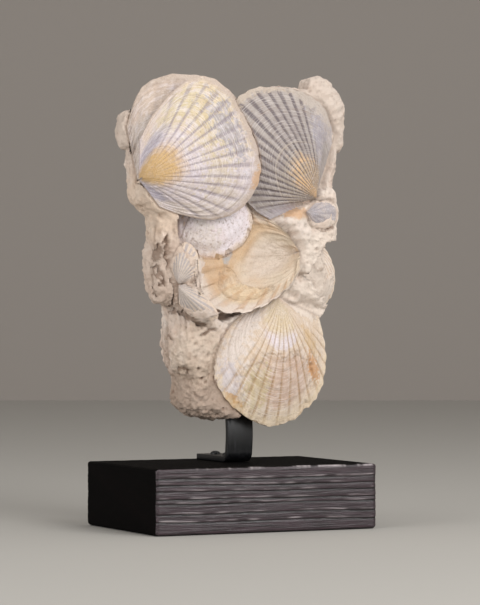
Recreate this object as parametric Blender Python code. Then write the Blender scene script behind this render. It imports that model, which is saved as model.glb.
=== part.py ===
"""A cluster of fossil scallop valves in limestone, on a flat steel bar and a timber plinth.

The origin is the centre of the plinth's underside. +X runs along the plinth's long side, +Y to
the back and +Z up, so the valves face -Y. Every length is in metres.
"""

import math
from collections import namedtuple

import bmesh
import bpy
from mathutils import Matrix, Vector, noise

MM = 0.001

# Plinth: a timber block with its annual rings standing proud on the long faces
PLINTH_LENGTH = 213.0 * MM
PLINTH_DEPTH = 149.5 * MM
PLINTH_HEIGHT = 57.0 * MM
PLINTH_CORNER = 2.0 * MM
RING_LINES = (9.3, 14.8, 20.3, 27.0, 31.0, 39.5, 46.5)
RING_GROOVE = 1.1 * MM
RING_GROOVE_WIDTH = 1.7 * MM

# Steel bar: 25 x 5 mm flat, bent to a foot at the bottom
BAR_WIDTH = 25.0 * MM
BAR_THICK = 5.0 * MM
BAR_X = 6.5 * MM
BAR_Y = -3.0 * MM
BAR_TOP = 150.0 * MM
BAR_BOW = 1.2 * MM
BAR_BEND = 7.0 * MM
BAR_FREE_SHARE = 0.38
FOOT_END = 58.0 * MM
SCREW_PLACES = {"foot_screw_near": 20.0 * MM, "foot_screw_far": 45.0 * MM}
SCREW_RADIUS = 4.6 * MM
SCREW_HEIGHT = 2.6 * MM
SCREW_SIDES = 14
GAP = 0.3 * MM

# Valves: the margin is given by its reach from the beak, in mm, at equal angles across the fan
BEAK_TURN = 1.3
RIBBED_SHARE = 0.8
RIB_FADE = (-0.05, 0.08)
RIB_GROWN = 0.5
SEAT_REACH = 45.0 * MM
SEAT_GROW = 1.3 * MM
SEAT_BEAK_TURN = 1.56
BACK_COLUMN_WIDTH = 6.0
FEWEST_COLUMNS = 12
SHOULDER_START = 0.7
SHOULDER_DROP = 0.7

Valve = namedtuple(
    "Valve",
    "name beak turn yaw pitch gape reach spiral ribs rib_height columns rows thick hollow colour",
)

# beak in mm; turn is clockwise from straight up as seen from the front; yaw and pitch aim the
# valve's face; gape is the fan's half angle
VALVES = (
    Valve("scallop_upper_left", (-99, -22, 306), 72, -11, 3, 70,
          (35, 65, 105, 114, 111, 111, 110, 100, 82, 50, 30),
          2.1, 17, 1.3, 42, 5, 3.2, False, (0.80, 0.72, 0.66)),
    Valve("scallop_behind_upper_left", (-93, -6, 305), 52, -14, 8, 62,
          (50, 80, 97, 107, 115, 117, 113, 103, 88, 70, 50),
          2.4, 9, 0.5, 18, 4, 3.0, False, (0.76, 0.69, 0.64)),
    Valve("scallop_upper_right", (70, -26, 291), -46, 3, 0, 66,
          (49, 62, 75, 91, 109, 117, 115, 105, 95, 83, 61),
          2.3, 19, 1.5, 46, 5, 3.0, False, (0.52, 0.47, 0.46)),
    Valve("scallop_below_upper_left", (-32, -20, 307), 174, -10, -5, 60,
          (36, 54, 64, 68, 70, 68, 64, 48, 35),
          2.2, 13, 0.9, 28, 4, 2.6, False, (0.72, 0.66, 0.66)),
    Valve("scallop_middle_inside", (52, -30, 244), -103, 0, 10, 72,
          (20, 47, 75, 85, 94, 103, 104, 82, 52, 31, 18),
          2.0, 9, 1.1, 30, 5, 2.6, True, (0.80, 0.68, 0.53)),
    Valve("scallop_lower", (33, -26, 204), -178, 2, -3, 70,
          (47, 60, 80, 99, 110, 115, 109, 101, 88, 59, 28),
          3.0, 16, 1.2, 40, 5, 3.2, False, (0.78, 0.64, 0.50)),
    Valve("small_scallop_left_upper", (-66, -32, 215), 24, -40, 6, 52,
          (15, 26, 37, 34, 27, 20, 15),
          2.0, 7, 0.7, 16, 3, 1.6, False, (0.60, 0.55, 0.53)),
    Valve("small_scallop_left_lower", (-66, -32, 214), 128, -36, -6, 52,
          (14, 15, 23, 44, 36, 26, 16),
          2.0, 7, 0.7, 16, 3, 1.6, False, (0.58, 0.54, 0.53)),
    Valve("scallop_right_side", (64, -16, 252), 142, 32, 0, 60,
          (24, 41, 60, 69, 68, 61, 51, 40, 30),
          2.2, 9, 0.7, 20, 4, 2.4, False, (0.72, 0.62, 0.54)),
    Valve("hinge_ear", (57, -36, 279), 100, 8, 0, 50,
          (14, 27, 34, 34, 28, 20, 14),
          2.6, 4, 0.6, 12, 3, 2.4, False, (0.62, 0.56, 0.54)),
)

# What lies over a valve, and so is cut out of it
OVERLAPS = {
    "scallop_behind_upper_left": (
        "scallop_upper_left", "scallop_upper_right", "scallop_below_upper_left",
    ),
    "scallop_upper_right": ("scallop_upper_left", "hinge_ear"),
    "scallop_below_upper_left": ("scallop_upper_left",),
    "scallop_middle_inside": ("scallop_below_upper_left", "scallop_upper_right", "scallop_upper_left"),
    "scallop_lower": ("scallop_middle_inside",),
    "small_scallop_left_upper": ("small_scallop_left_lower",),
    "scallop_right_side": ("scallop_middle_inside", "scallop_lower", "hinge_ear"),
}

# Matrix: lumps of stone as (centre, radii) in mm, joined and then weathered
LUMPS = (
    ((-17, 2, 125), (35, 29, 28)),
    ((12, -2, 142), (52, 27, 38)),
    ((36, -2, 154), (42, 26, 48)),
    ((-30, -2, 178), (32, 31, 52)),
    ((14, -2, 206), (66, 33, 54)),
    ((57, -7, 221), (35, 25, 36)),
    ((-44, -4, 238), (33, 30, 45)),
    ((0, -2, 265), (80, 34, 50)),
    ((58, -4, 272), (38, 36, 40)),
    ((64, -13, 254), (18, 20, 26)),
    ((78, -6, 232), (20, 22, 32)),
    ((-48, -4, 328), (48, 36, 58)),
    ((50, -4, 334), (46, 32, 56)),
    ((2, -2, 322), (58, 32, 58)),
    ((80, -8, 382), (13, 18, 20)),
    ((87, -6, 361), (19, 21, 31)),
    ((-91, 14, 351), (12, 14, 17)),
    ((-82, 0, 298), (14, 16, 15)),
    ((-64, 4, 231), (14, 24, 31)),
)
LUMP_POWER = 3.2
STONE_VOXEL = 4.5 * MM
STONE_TRIANGLES = 900
STONE_SWELL = 3.0 * MM
STONE_SWELL_SIZE = 26.0 * MM
STONE_PIT = 3.2 * MM
STONE_PIT_SIZE = 9.0 * MM
STONE_PIT_PLACE = Vector((7.0, 3.0, 1.0))
POCKET_TOP = BAR_TOP + GAP


def clear_scene():
    """Removes what the starting file holds."""
    for obj in list(bpy.data.objects):
        bpy.data.objects.remove(obj)


def material(name, colour, roughness, metallic=0.0):
    """A plain Principled material."""
    made = bpy.data.materials.new(name)
    made.use_nodes = True
    shader = made.node_tree.nodes["Principled BSDF"]
    shader.inputs["Base Color"].default_value = (*colour, 1.0)
    shader.inputs["Roughness"].default_value = roughness
    shader.inputs["Metallic"].default_value = metallic
    return made


def object_from(bm, name, finish=None):
    """Turns a bmesh into a named object in the scene."""
    bmesh.ops.recalc_face_normals(bm, faces=bm.faces)
    mesh = bpy.data.meshes.new(name)
    bm.to_mesh(mesh)
    bm.free()
    obj = bpy.data.objects.new(name, mesh)
    bpy.context.scene.collection.objects.link(obj)
    if finish:
        mesh.materials.append(finish)
    return obj


def settle(obj):
    """Applies the object's modifiers, so that its mesh can be worked on further."""
    graph = bpy.context.evaluated_depsgraph_get()
    mesh = bpy.data.meshes.new_from_object(obj.evaluated_get(graph))
    obj.modifiers.clear()
    obj.data = mesh


def keep_largest(obj):
    """Deletes the chips that a cut has parted from the object."""
    bm = bmesh.new()
    bm.from_mesh(obj.data)
    left = set(bm.verts)
    pieces = []
    while left:
        piece = {left.pop()}
        edge_of_piece = list(piece)
        while edge_of_piece:
            for edge in edge_of_piece.pop().link_edges:
                for vert in edge.verts:
                    if vert in left:
                        left.discard(vert)
                        piece.add(vert)
                        edge_of_piece.append(vert)
        pieces.append(piece)
    pieces.sort(key=len)
    for piece in pieces[:-1]:
        bmesh.ops.delete(bm, geom=list(piece), context="VERTS")
    bm.to_mesh(obj.data)
    bm.free()


def cut(obj, cutters):
    """Takes each cutter's shape out of the object."""
    for cutter in cutters:
        boolean = obj.modifiers.new("cut", "BOOLEAN")
        boolean.operation = "DIFFERENCE"
        boolean.solver = "EXACT"
        boolean.object = cutter
        settle(obj)
    keep_largest(obj)


def hide(cutter):
    """Marks an object as a helper."""
    cutter.hide_render = True
    cutter.display_type = "WIRE"
    return cutter


def smooth(value, low, high):
    """Rises from 0 at low to 1 at high."""
    share = min(1.0, max(0.0, (value - low) / (high - low)))
    return share * share * (3.0 - 2.0 * share)


def back_columns(valve):
    """How many columns a valve's hidden side has."""
    return max(FEWEST_COLUMNS, round(max(valve.reach) / BACK_COLUMN_WIDTH))


def sheet_in(bm, columns, rows, level):
    """A flat grid from 0 to 1 each way."""
    made = bmesh.ops.create_grid(bm, x_segments=columns, y_segments=rows, size=0.5)["verts"]
    bmesh.ops.translate(bm, verts=made, vec=(0.5, 0.5, level))


def block_in(valve, columns):
    """A closed block: x runs 0 to 1 across the fan, y from margin to beak, z is 0 or 1.

    The sheet at 1 has the same few columns in a valve and in its seat, so that the two match.
    """
    bm = bmesh.new()
    sheet_in(bm, columns, valve.rows, 0.0)
    sheet_in(bm, back_columns(valve), valve.rows, 1.0)
    for axis, end in ((0, 0.0), (0, 1.0), (1, 0.0), (1, 1.0)):
        rims = [
            edge for edge in bm.edges
            if edge.is_boundary and all(abs(vert.co[axis] - end) < 1e-4 for vert in edge.verts)
            and edge.verts[0].co.z == edge.verts[1].co.z
        ]
        bmesh.ops.bridge_loops(bm, edges=rims)
    bmesh.ops.triangulate(bm, faces=bm.faces, quad_method="FIXED")
    return bm


def reach_at(valve, across):
    """Distance from the beak to the margin, on a smooth curve through the valve's reaches."""
    last = len(valve.reach) - 1
    place = min(max(across, 0.0), 0.9999) * last
    index = int(place)
    share = place - index
    near = [valve.reach[min(max(index + step, 0), last)] for step in (-1, 0, 1, 2)]
    slope_in = (near[2] - near[0]) / 2.0
    slope_out = (near[3] - near[1]) / 2.0
    cubic = 2.0 * (near[1] - near[2]) + slope_in + slope_out
    square = 3.0 * (near[2] - near[1]) - 2.0 * slope_in - slope_out
    return (((cubic * share + square) * share + slope_in) * share + near[1]) * MM


def dome_point(valve, across, growth, beak_turn=BEAK_TURN):
    """A point of the valve's smooth outer face, which grows on a spiral about the hinge line."""
    scale = growth + (1.0 - growth) * math.exp(-valve.spiral * beak_turn)
    theta = math.radians(valve.gape) * (2.0 * across - 1.0)
    reach = reach_at(valve, across) * scale
    turn = -math.log(scale) / valve.spiral
    shoulder = 1.0 - SHOULDER_DROP * smooth(abs(2.0 * across - 1.0), SHOULDER_START, 1.0)
    flat = reach * math.cos(turn)
    rise = reach * math.cos(theta) * math.sin(turn) * shoulder
    return Vector((flat * math.sin(theta), flat * math.cos(theta), rise))


def rib_lift(valve, across, growth):
    """How far a rib or groove stands off the smooth face."""
    side = abs(2.0 * across - 1.0)
    fade = 1.0 - smooth(side, RIBBED_SHARE + RIB_FADE[0], RIBBED_SHARE + RIB_FADE[1])
    wave = math.cos(2.0 * math.pi * valve.ribs * (across - 0.5) / RIBBED_SHARE)
    return 0.5 * valve.rib_height * MM * wave * fade * smooth(growth, 0.0, RIB_GROWN)


def frame_of(valve):
    """Matrix from the valve's own axes (x along the hinge, y to the margin, z outwards)."""
    yaw = math.radians(valve.yaw)
    pitch = math.radians(valve.pitch)
    front = Vector((math.sin(yaw) * math.cos(pitch), -math.cos(yaw) * math.cos(pitch), math.sin(pitch)))
    up = (Vector((0, 0, 1)) - front * front.z).normalized()
    right = up.cross(front)
    turn = math.radians(valve.turn)
    along = up * math.cos(turn) + right * math.sin(turn)
    outward = -front if valve.hollow else front
    across = along.cross(outward)
    rotation = Matrix((across, along, outward)).transposed().to_4x4()
    return Matrix.Translation(Vector(valve.beak) * MM) @ rotation


def valve_solid(valve):
    """The valve as a thin closed body, ribbed on the side that shows."""
    bm = block_in(valve, valve.columns)
    for vert in bm.verts:
        across, growth = vert.co.x, 1.0 - vert.co.y
        point = dome_point(valve, across, growth)
        lift = rib_lift(valve, across, growth)
        hidden = vert.co.z > 0.5
        if hidden != valve.hollow:
            point.z -= valve.thick * MM
        if not hidden:
            point.z += lift
        vert.co = point
    bmesh.ops.transform(bm, matrix=frame_of(valve), verts=bm.verts)
    finish = material(valve.name, valve.colour, 0.7)
    return object_from(bm, valve.name, finish)


def seat_edge(valve, across, growth):
    """Which way a seat's edge lies from the valve's, in plan: zero away from the edge."""
    theta = math.radians(valve.gape) * (2.0 * across - 1.0)
    away = Vector((0.0, 0.0))
    if growth > 0.999:
        left = dome_point(valve, max(0.0, across - 0.01), 1.0)
        right = dome_point(valve, min(1.0, across + 0.01), 1.0)
        away += Vector((left.y - right.y, right.x - left.x)).normalized()
    if across < 0.001:
        away += Vector((-math.cos(theta), math.sin(theta)))
    if across > 0.999:
        away += Vector((math.cos(theta), -math.sin(theta)))
    return away


def seat_solid(valve):
    """What has to be free of stone: the valve with a gap, and the space in front of it."""
    bm = block_in(valve, back_columns(valve))
    facing = -1.0 if valve.hollow else 1.0
    back = GAP if valve.hollow else valve.thick * MM + GAP
    for vert in bm.verts:
        across, growth = vert.co.x, 1.0 - vert.co.y
        away = seat_edge(valve, across, growth) * SEAT_GROW
        point = dome_point(valve, across, growth)
        if growth < 0.001:
            nearer = dome_point(valve, across, growth, SEAT_BEAK_TURN)
            point = Vector((nearer.x, nearer.y, point.z + SEAT_GROW if valve.hollow else nearer.z))
        if vert.co.z < 0.5:
            point.z = facing * SEAT_REACH
        else:
            point.z -= facing * (back + away.length)
        vert.co = point + away.to_3d()
    bmesh.ops.transform(bm, matrix=frame_of(valve), verts=bm.verts)
    return hide(object_from(bm, valve.name + "_seat"))


def lump(centre, radii):
    """One lump of stone, between a ball and a block in shape."""
    bm = bmesh.new()
    bmesh.ops.create_icosphere(bm, subdivisions=3, radius=1.0)
    for vert in bm.verts:
        vert.co /= sum(abs(side) ** LUMP_POWER for side in vert.co) ** (1.0 / LUMP_POWER)
    bmesh.ops.scale(bm, vec=Vector(radii) * MM, verts=bm.verts)
    bmesh.ops.translate(bm, vec=Vector(centre) * MM, verts=bm.verts)
    return bm


def weather(mesh):
    """Moves the stone's surface in and out in broad swells and small pits."""
    bm = bmesh.new()
    bm.from_mesh(mesh)
    bm.normal_update()
    for vert in bm.verts:
        swell = noise.noise(vert.co / STONE_SWELL_SIZE) * STONE_SWELL
        pit = min(0.0, noise.noise(vert.co / STONE_PIT_SIZE + STONE_PIT_PLACE)) * STONE_PIT
        vert.co += vert.normal * (swell + pit)
    bm.to_mesh(mesh)
    bm.free()


def stone_block():
    """The limestone before the valves' seats are cut."""
    whole = bmesh.new()
    for centre, radii in LUMPS:
        part = lump(centre, radii)
        mesh = bpy.data.meshes.new("lump")
        part.to_mesh(mesh)
        part.free()
        whole.from_mesh(mesh)
        bpy.data.meshes.remove(mesh)
    stone = object_from(whole, "matrix", material("limestone", (0.56, 0.47, 0.40), 0.95))
    remesh = stone.modifiers.new("remesh", "REMESH")
    remesh.mode = "VOXEL"
    remesh.voxel_size = STONE_VOXEL
    settle(stone)
    weather(stone.data)
    decimate = stone.modifiers.new("decimate", "DECIMATE")
    decimate.ratio = STONE_TRIANGLES / sum(len(face.vertices) - 2 for face in stone.data.polygons)
    settle(stone)
    return stone


def box(name, low, high):
    """A closed box between two corners."""
    bm = bmesh.new()
    bmesh.ops.create_cube(bm, size=1.0)
    low, high = Vector(low), Vector(high)
    bmesh.ops.scale(bm, vec=high - low, verts=bm.verts)
    bmesh.ops.translate(bm, vec=(low + high) / 2.0, verts=bm.verts)
    return object_from(bm, name)


def pocket():
    """The slot in the stone's underside that takes the bar."""
    half = BAR_WIDTH / 2.0 + GAP
    deep = BAR_THICK / 2.0 + GAP
    low = (BAR_X - half, BAR_Y - deep, PLINTH_HEIGHT)
    high = (BAR_X + half, BAR_Y + deep, POCKET_TOP)
    return hide(box("bar_pocket", low, high))


def groove_depth(height):
    """How far the plinth's long faces are worn back at this height, between the hard rings."""
    deep = 0.0
    for line in RING_LINES:
        off = abs(PLINTH_HEIGHT - line * MM - height) / RING_GROOVE_WIDTH
        deep = max(deep, RING_GROOVE * max(0.0, 1.0 - off))
    return deep


def plinth():
    """The timber block: its end outline, with the ring grooves, drawn out along the grain."""
    heights = {PLINTH_CORNER, PLINTH_HEIGHT - PLINTH_CORNER}
    for line in RING_LINES:
        middle = PLINTH_HEIGHT - line * MM
        heights |= {middle - RING_GROOVE_WIDTH, middle, middle + RING_GROOVE_WIDTH}
    half = PLINTH_DEPTH / 2.0
    front = [(-half + PLINTH_CORNER, 0.0)]
    front += [(-half + groove_depth(height), height) for height in sorted(heights)]
    front.append((-half + PLINTH_CORNER, PLINTH_HEIGHT))
    outline = front + [(-y, z) for y, z in reversed(front)]
    bm = bmesh.new()
    corners = [bm.verts.new((-PLINTH_LENGTH / 2.0, y, z)) for y, z in outline]
    end = bm.faces.new(corners)
    drawn = bmesh.ops.extrude_face_region(bm, geom=[end])
    moved = [part for part in drawn["geom"] if isinstance(part, bmesh.types.BMVert)]
    bmesh.ops.translate(bm, vec=(PLINTH_LENGTH, 0.0, 0.0), verts=moved)
    return object_from(bm, "plinth", material("stained_timber", (0.045, 0.035, 0.038), 0.6))


def bar_path():
    """The middle line of the flat bar in the y-z plane, from the foot's end to the top."""
    lie = PLINTH_HEIGHT + BAR_THICK / 2.0 + GAP
    path = [(FOOT_END, lie)]
    for step in range(7):
        angle = math.pi / 2.0 * step / 6.0
        path.append((BAR_Y + BAR_BEND * (1.0 - math.sin(angle)), lie + BAR_BEND * (1.0 - math.cos(angle))))
    rise = POCKET_TOP - lie - BAR_BEND
    for step in range(1, 9):
        share = BAR_FREE_SHARE * step / 8.0
        bow = BAR_BOW * math.sin(math.pi * step / 8.0)
        path.append((BAR_Y - bow, lie + BAR_BEND + rise * share))
    path.append((BAR_Y, BAR_TOP))
    return path


def steel_bar():
    """The flat bar, with its foot on the plinth."""
    path = [Vector(point) for point in bar_path()]
    sides = ([], [])
    for index, point in enumerate(path):
        before = path[max(0, index - 1)]
        after = path[min(len(path) - 1, index + 1)]
        along = (after - before).normalized()
        off = Vector((along.y, -along.x)) * BAR_THICK / 2.0
        sides[0].append(point + off)
        sides[1].append(point - off)
    outline = sides[0] + sides[1][::-1]
    bm = bmesh.new()
    corners = [bm.verts.new((BAR_X - BAR_WIDTH / 2.0, y, z)) for y, z in outline]
    edge = bm.faces.new(corners)
    drawn = bmesh.ops.extrude_face_region(bm, geom=[edge])
    moved = [part for part in drawn["geom"] if isinstance(part, bmesh.types.BMVert)]
    bmesh.ops.translate(bm, vec=(BAR_WIDTH, 0.0, 0.0), verts=moved)
    return object_from(bm, "steel_bar", material("blackened_steel", (0.03, 0.03, 0.035), 0.45))


def foot_screw(name, y):
    """A low round head that lies on the foot."""
    base = PLINTH_HEIGHT + BAR_THICK + 2.0 * GAP
    bm = bmesh.new()
    profile = [bm.verts.new((SCREW_RADIUS, 0.0, 0.0))]
    for step in range(1, 4):
        angle = math.pi / 2.0 * step / 4.0
        place = (SCREW_RADIUS * math.cos(angle), 0.0, SCREW_HEIGHT * math.sin(angle))
        profile.append(bm.verts.new(place))
    edges = [bm.edges.new(pair) for pair in zip(profile, profile[1:])]
    bmesh.ops.spin(bm, geom=profile + edges, cent=(0, 0, 0), axis=(0, 0, 1),
                   angle=2.0 * math.pi, steps=SCREW_SIDES, use_merge=True)
    bmesh.ops.remove_doubles(bm, verts=bm.verts, dist=0.01 * MM)
    bmesh.ops.holes_fill(bm, edges=bm.edges[:], sides=0)
    bmesh.ops.translate(bm, vec=(BAR_X, y, base), verts=bm.verts)
    return object_from(bm, name, material(name, (0.05, 0.05, 0.055), 0.4, 1.0))


def build():
    """Makes every piece, each cut clear of what lies over it."""
    clear_scene()
    plinth()
    steel_bar()
    for name, place in SCREW_PLACES.items():
        foot_screw(name, place)
    stone = stone_block()
    seats = {valve.name: seat_solid(valve) for valve in VALVES}
    cut(stone, list(seats.values()) + [pocket()])
    for valve in VALVES:
        solid = valve_solid(valve)
        over = OVERLAPS.get(valve.name, ())
        if over:
            cut(solid, [seats[name] for name in over])


build()
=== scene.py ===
"""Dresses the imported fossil: scallop valves in limestone, on a blackened steel bar and a timber plinth.

The frame's origin is the centre of the plinth's underside, +X runs along its long side, +Y to the
back and +Z up. Sizes in the classes are in millimetres, and meshes are in metres.
"""

import logging
import math
from dataclasses import dataclass
from enum import Enum

import bmesh
import bpy
import numpy as np
from mathutils import Matrix, Vector, noise

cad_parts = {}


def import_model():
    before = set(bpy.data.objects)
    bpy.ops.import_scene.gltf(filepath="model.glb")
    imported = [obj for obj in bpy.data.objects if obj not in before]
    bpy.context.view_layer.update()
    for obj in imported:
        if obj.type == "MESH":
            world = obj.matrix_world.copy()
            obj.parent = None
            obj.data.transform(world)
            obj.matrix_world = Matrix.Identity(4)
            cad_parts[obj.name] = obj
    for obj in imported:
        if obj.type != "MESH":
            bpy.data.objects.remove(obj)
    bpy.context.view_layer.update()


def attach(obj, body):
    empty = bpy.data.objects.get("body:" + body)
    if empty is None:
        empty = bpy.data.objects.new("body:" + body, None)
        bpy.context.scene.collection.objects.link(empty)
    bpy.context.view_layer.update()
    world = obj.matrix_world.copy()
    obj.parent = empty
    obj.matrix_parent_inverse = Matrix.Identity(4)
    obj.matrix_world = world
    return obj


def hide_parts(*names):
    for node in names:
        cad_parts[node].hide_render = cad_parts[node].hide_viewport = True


Tree = bpy.types.NodeTree
Socket = bpy.types.NodeSocket
MM = 0.001
LOG = logging.getLogger("fossil")

# How a valve grows, as in the solids: the spiral's turn at the beak in radians, where the rise fades
# towards the side edges and by how much, and the gap between two pieces in mm
BEAK_TURN = 1.3
SHOULDER_START = 0.7
SHOULDER_DROP = 0.7
GAP = 0.3
# Rock this near to a valve's face, in mm, may be drawn level with it, and is darkened at its edge with dirt
# and painted shade
NEAR_FACE = 16.0
SEAM_DEPTH = 5.0
# A valve's hidden face is this coarse, and a valve under another stops this far inside its margin, in mm
HIDDEN_GRID = (30, 16)
TUCKED_MARGIN = -0.5

# Calcite's refraction, and the pale growth threads on every valve
CALCITE_IOR = 1.53
THREAD_COLOUR = "#efe6e2"

# Photograph's frame and the lens that was worked out from the plinth's corners
PHOTO_HEIGHT = 605
FOCAL_PIXELS = 2962.2
SENSOR_MM = 36.0
CAMERA_PLACE = (-1.15228, -2.37004, 0.19915)
CAMERA_HEADING = -26.11


class Shows(Enum):
    """Which side of a valve faces out of the rock."""

    OUTSIDE = 1
    INSIDE = 2


def linear(colour: str) -> tuple[float, float, float, float]:
    """Turns an sRGB hex colour into linear values.

    Args:
        colour: the colour as "#rrggbb".

    Returns:
        Linear red, green and blue, and an alpha of 1.
    """
    parts = [int(colour[place:place + 2], 16) / 255.0 for place in (1, 3, 5)]
    parts = [part / 12.92 if part <= 0.04045 else ((part + 0.055) / 1.055) ** 2.4 for part in parts]
    return (*parts, 1.0)


def add_node(tree: Tree, kind: str, inputs: dict | None = None, **settings) -> bpy.types.Node:
    """Adds a node to a material, with its settings and links.

    Args:
        tree: the material's node tree.
        kind: the node's type name.
        inputs: input name or index to a value, or to the output socket that it is linked from.
        **settings: the node's own properties.

    Returns:
        The new node.
    """
    made = tree.nodes.new(kind)
    for name, value in settings.items():
        setattr(made, name, value)
    for place, value in (inputs or {}).items():
        if isinstance(value, Socket):
            tree.links.new(value, made.inputs[place])
        else:
            made.inputs[place].default_value = value
    return made


def mixed(tree: Tree, share: Socket, base: Socket | str, colour: str) -> Socket:
    """Lays a colour over another.

    Args:
        tree: the material's node tree.
        share: how much of the new colour shows.
        base: the colour under it, an output or an sRGB hex colour.
        colour: the colour laid on, as sRGB hex.

    Returns:
        The mixed colour's output.
    """
    under = linear(base) if isinstance(base, str) else base
    inputs = {0: share, 6: under, 7: linear(colour)}
    return add_node(tree, "ShaderNodeMix", inputs, data_type="RGBA").outputs[2]


def ramp(tree: Tree, value: Socket, low: float, high: float, top: float = 1.0, bottom: float = 0.0) -> Socket:
    """Maps a value to bottom at low and to top at high, held there, and returns the result's output."""
    return add_node(tree, "ShaderNodeMapRange", {"Value": value, "From Min": low, "From Max": high,
                                                 "To Min": bottom, "To Max": top}).outputs[0]


def times_plus(tree: Tree, value: Socket, factor: Socket | float, added: Socket | float) -> Socket:
    """Multiplies a value by a number or an output, adds another, and returns the result's output."""
    inputs = {0: value, 1: factor, 2: added}
    return add_node(tree, "ShaderNodeMath", inputs, operation="MULTIPLY_ADD").outputs[0]


def speckle(tree: Tree, where: Socket, size_mm: float, detail: float, rough: float) -> Socket:
    """Noise on object coordinates with grains of a size in mm, finer layers and their strength."""
    return add_node(tree, "ShaderNodeTexNoise", {"Vector": where, "Scale": 1.0 / (size_mm * MM),
                                                 "Detail": detail, "Roughness": rough}).outputs["Fac"]


def bumped(tree: Tree, height: Socket, strength: float, deep_mm: float) -> None:
    """Links a height to the shader's normal, with its strength and its depth in mm."""
    bump = add_node(tree, "ShaderNodeBump", {"Height": height, "Strength": strength,
                                             "Distance": deep_mm * MM})
    tree.links.new(bump.outputs[0], tree.nodes["Principled BSDF"].inputs["Normal"])


def painted(name: str) -> tuple[bpy.types.Material, Tree, bpy.types.Node]:
    """Starts a material.

    Args:
        name: its name.

    Returns:
        The material, its node tree and its shader.
    """
    made = bpy.data.materials.new(name)
    made.use_nodes = True
    return made, made.node_tree, made.node_tree.nodes["Principled BSDF"]


def stored(tree: Tree, name: str) -> Socket:
    """Reads an attribute that store() kept."""
    return add_node(tree, "ShaderNodeAttribute", attribute_name=name).outputs["Fac"]


def smooth(value: np.ndarray, low: float, high: float) -> np.ndarray:
    """Rises smoothly from 0 at low to 1 at high."""
    share = np.clip((value - low) / (high - low), 0.0, 1.0)
    return share * share * (3.0 - 2.0 * share)


def grain(points: np.ndarray, seed: float = 0.0) -> np.ndarray:
    """Smooth noise from about -1 to 1 at points that are already divided by its size."""
    shift = Vector((seed, 2.0 * seed, -seed))
    return np.array([noise.noise(Vector(point) + shift) for point in points.tolist()])


def cells(points: np.ndarray, seed: float = 0.0) -> np.ndarray:
    """Distances to the nearest of many scattered centres, in spacings, as the points are."""
    shift = Vector((seed, -seed, seed))
    return np.array([noise.voronoi(Vector(point) + shift)[0][0] for point in points.tolist()])


def finish_object(name: str, mesh: bpy.types.Mesh, finishes: list, crease: float = 40.0) -> bpy.types.Object:
    """Puts a mesh in the scene as a piece that rides on the part's only body.

    Args:
        name: the piece's name.
        mesh: its mesh, in metres.
        finishes: its materials, by slot.
        crease: edges that turn more than this many degrees are drawn sharp.

    Returns:
        The new object.
    """
    mesh.shade_smooth()
    mesh.set_sharp_from_angle(angle=math.radians(crease))
    for finish in finishes:
        mesh.materials.append(finish)
    piece = bpy.data.objects.new(name, mesh)
    bpy.context.scene.collection.objects.link(piece)
    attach(piece, "root")
    LOG.info("%s: %d faces", name, len(mesh.polygons))
    return piece


def store(mesh: bpy.types.Mesh, name: str, values: np.ndarray) -> None:
    """Keeps a number at each of a mesh's vertices, for its material to read."""
    layer = mesh.attributes.new(name, "FLOAT", "POINT")
    layer.data.foreach_set("value", np.asarray(values, dtype=np.float32))


def points_of(mesh: bpy.types.Mesh) -> np.ndarray:
    """Reads a mesh's vertices.

    Args:
        mesh: the mesh.

    Returns:
        One row of three numbers for each vertex.
    """
    flat = np.empty(3 * len(mesh.vertices), dtype=np.float32)
    mesh.vertices.foreach_get("co", flat)
    return flat.reshape(-1, 3).astype(np.float64)


def put_points(mesh: bpy.types.Mesh, points: np.ndarray) -> None:
    """Moves each of a mesh's vertices to its row of points."""
    mesh.vertices.foreach_set("co", points.astype(np.float32).ravel())
    mesh.update()


def baked(bm: bmesh.types.BMesh, name: str) -> bpy.types.Mesh:
    """Turns an edit mesh into a new mesh with the same coordinates.

    Args:
        bm: the edit mesh, which is freed.
        name: the new mesh's name.

    Returns:
        The new mesh.
    """
    mesh = bpy.data.meshes.new(name)
    bm.to_mesh(mesh)
    bm.free()
    return mesh


def rows(*parts: np.ndarray) -> np.ndarray:
    """Sets lists of numbers side by side in rows of three; a third that isn't given is 0."""
    filled = parts if len(parts) == 3 else (*parts, 0.0 * parts[0])
    return np.stack(filled, axis=1)


def patch(across: np.ndarray, growth: np.ndarray, oval: list[float]) -> np.ndarray:
    """Distance from an oval's middle, 1 at its edge; the oval is its middle and two half sizes."""
    middle, start, wide, long = oval
    return np.hypot((across - middle) / wide, (growth - start) / long)


@dataclass(frozen=True)
class Stain:
    """A ragged-edged patch of colour in the coordinates that its finish uses.

    On a valve these are the fan's own: across from 0 to 1, and growth from 0 at the beak to 1.
    """

    centre: tuple[float, float, float]
    size: tuple[float, float, float]
    colour: str
    strength: float = 0.8
    ragged: float = 0.5
    patch_mm: float = 5.0

    def paint(self, tree: Tree, place: Socket, where: Socket, base: Socket) -> Socket:
        """Lays the patch over what is painted so far.

        Args:
            tree: the material's node tree.
            place: the coordinates that centre and size are in.
            where: object coordinates, for the ragged edge.
            base: the colour so far.

        Returns:
            The colour with the patch.
        """
        scale = tuple(1.0 / length for length in self.size)
        shift = tuple(-middle / length for middle, length in zip(self.centre, self.size))
        moved = add_node(tree, "ShaderNodeVectorMath", {0: place, 1: scale, 2: shift},
                         operation="MULTIPLY_ADD")
        off = add_node(tree, "ShaderNodeVectorMath", {0: moved.outputs[0]}, operation="LENGTH")
        edge = speckle(tree, where, self.patch_mm, 4.0, 0.6)
        worn = times_plus(tree, edge, 3.0 * self.ragged, off.outputs["Value"])
        middle = 1.0 + 1.5 * self.ragged
        return mixed(tree, ramp(tree, worn, middle + 0.12, middle - 0.3, self.strength), base, self.colour)


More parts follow.
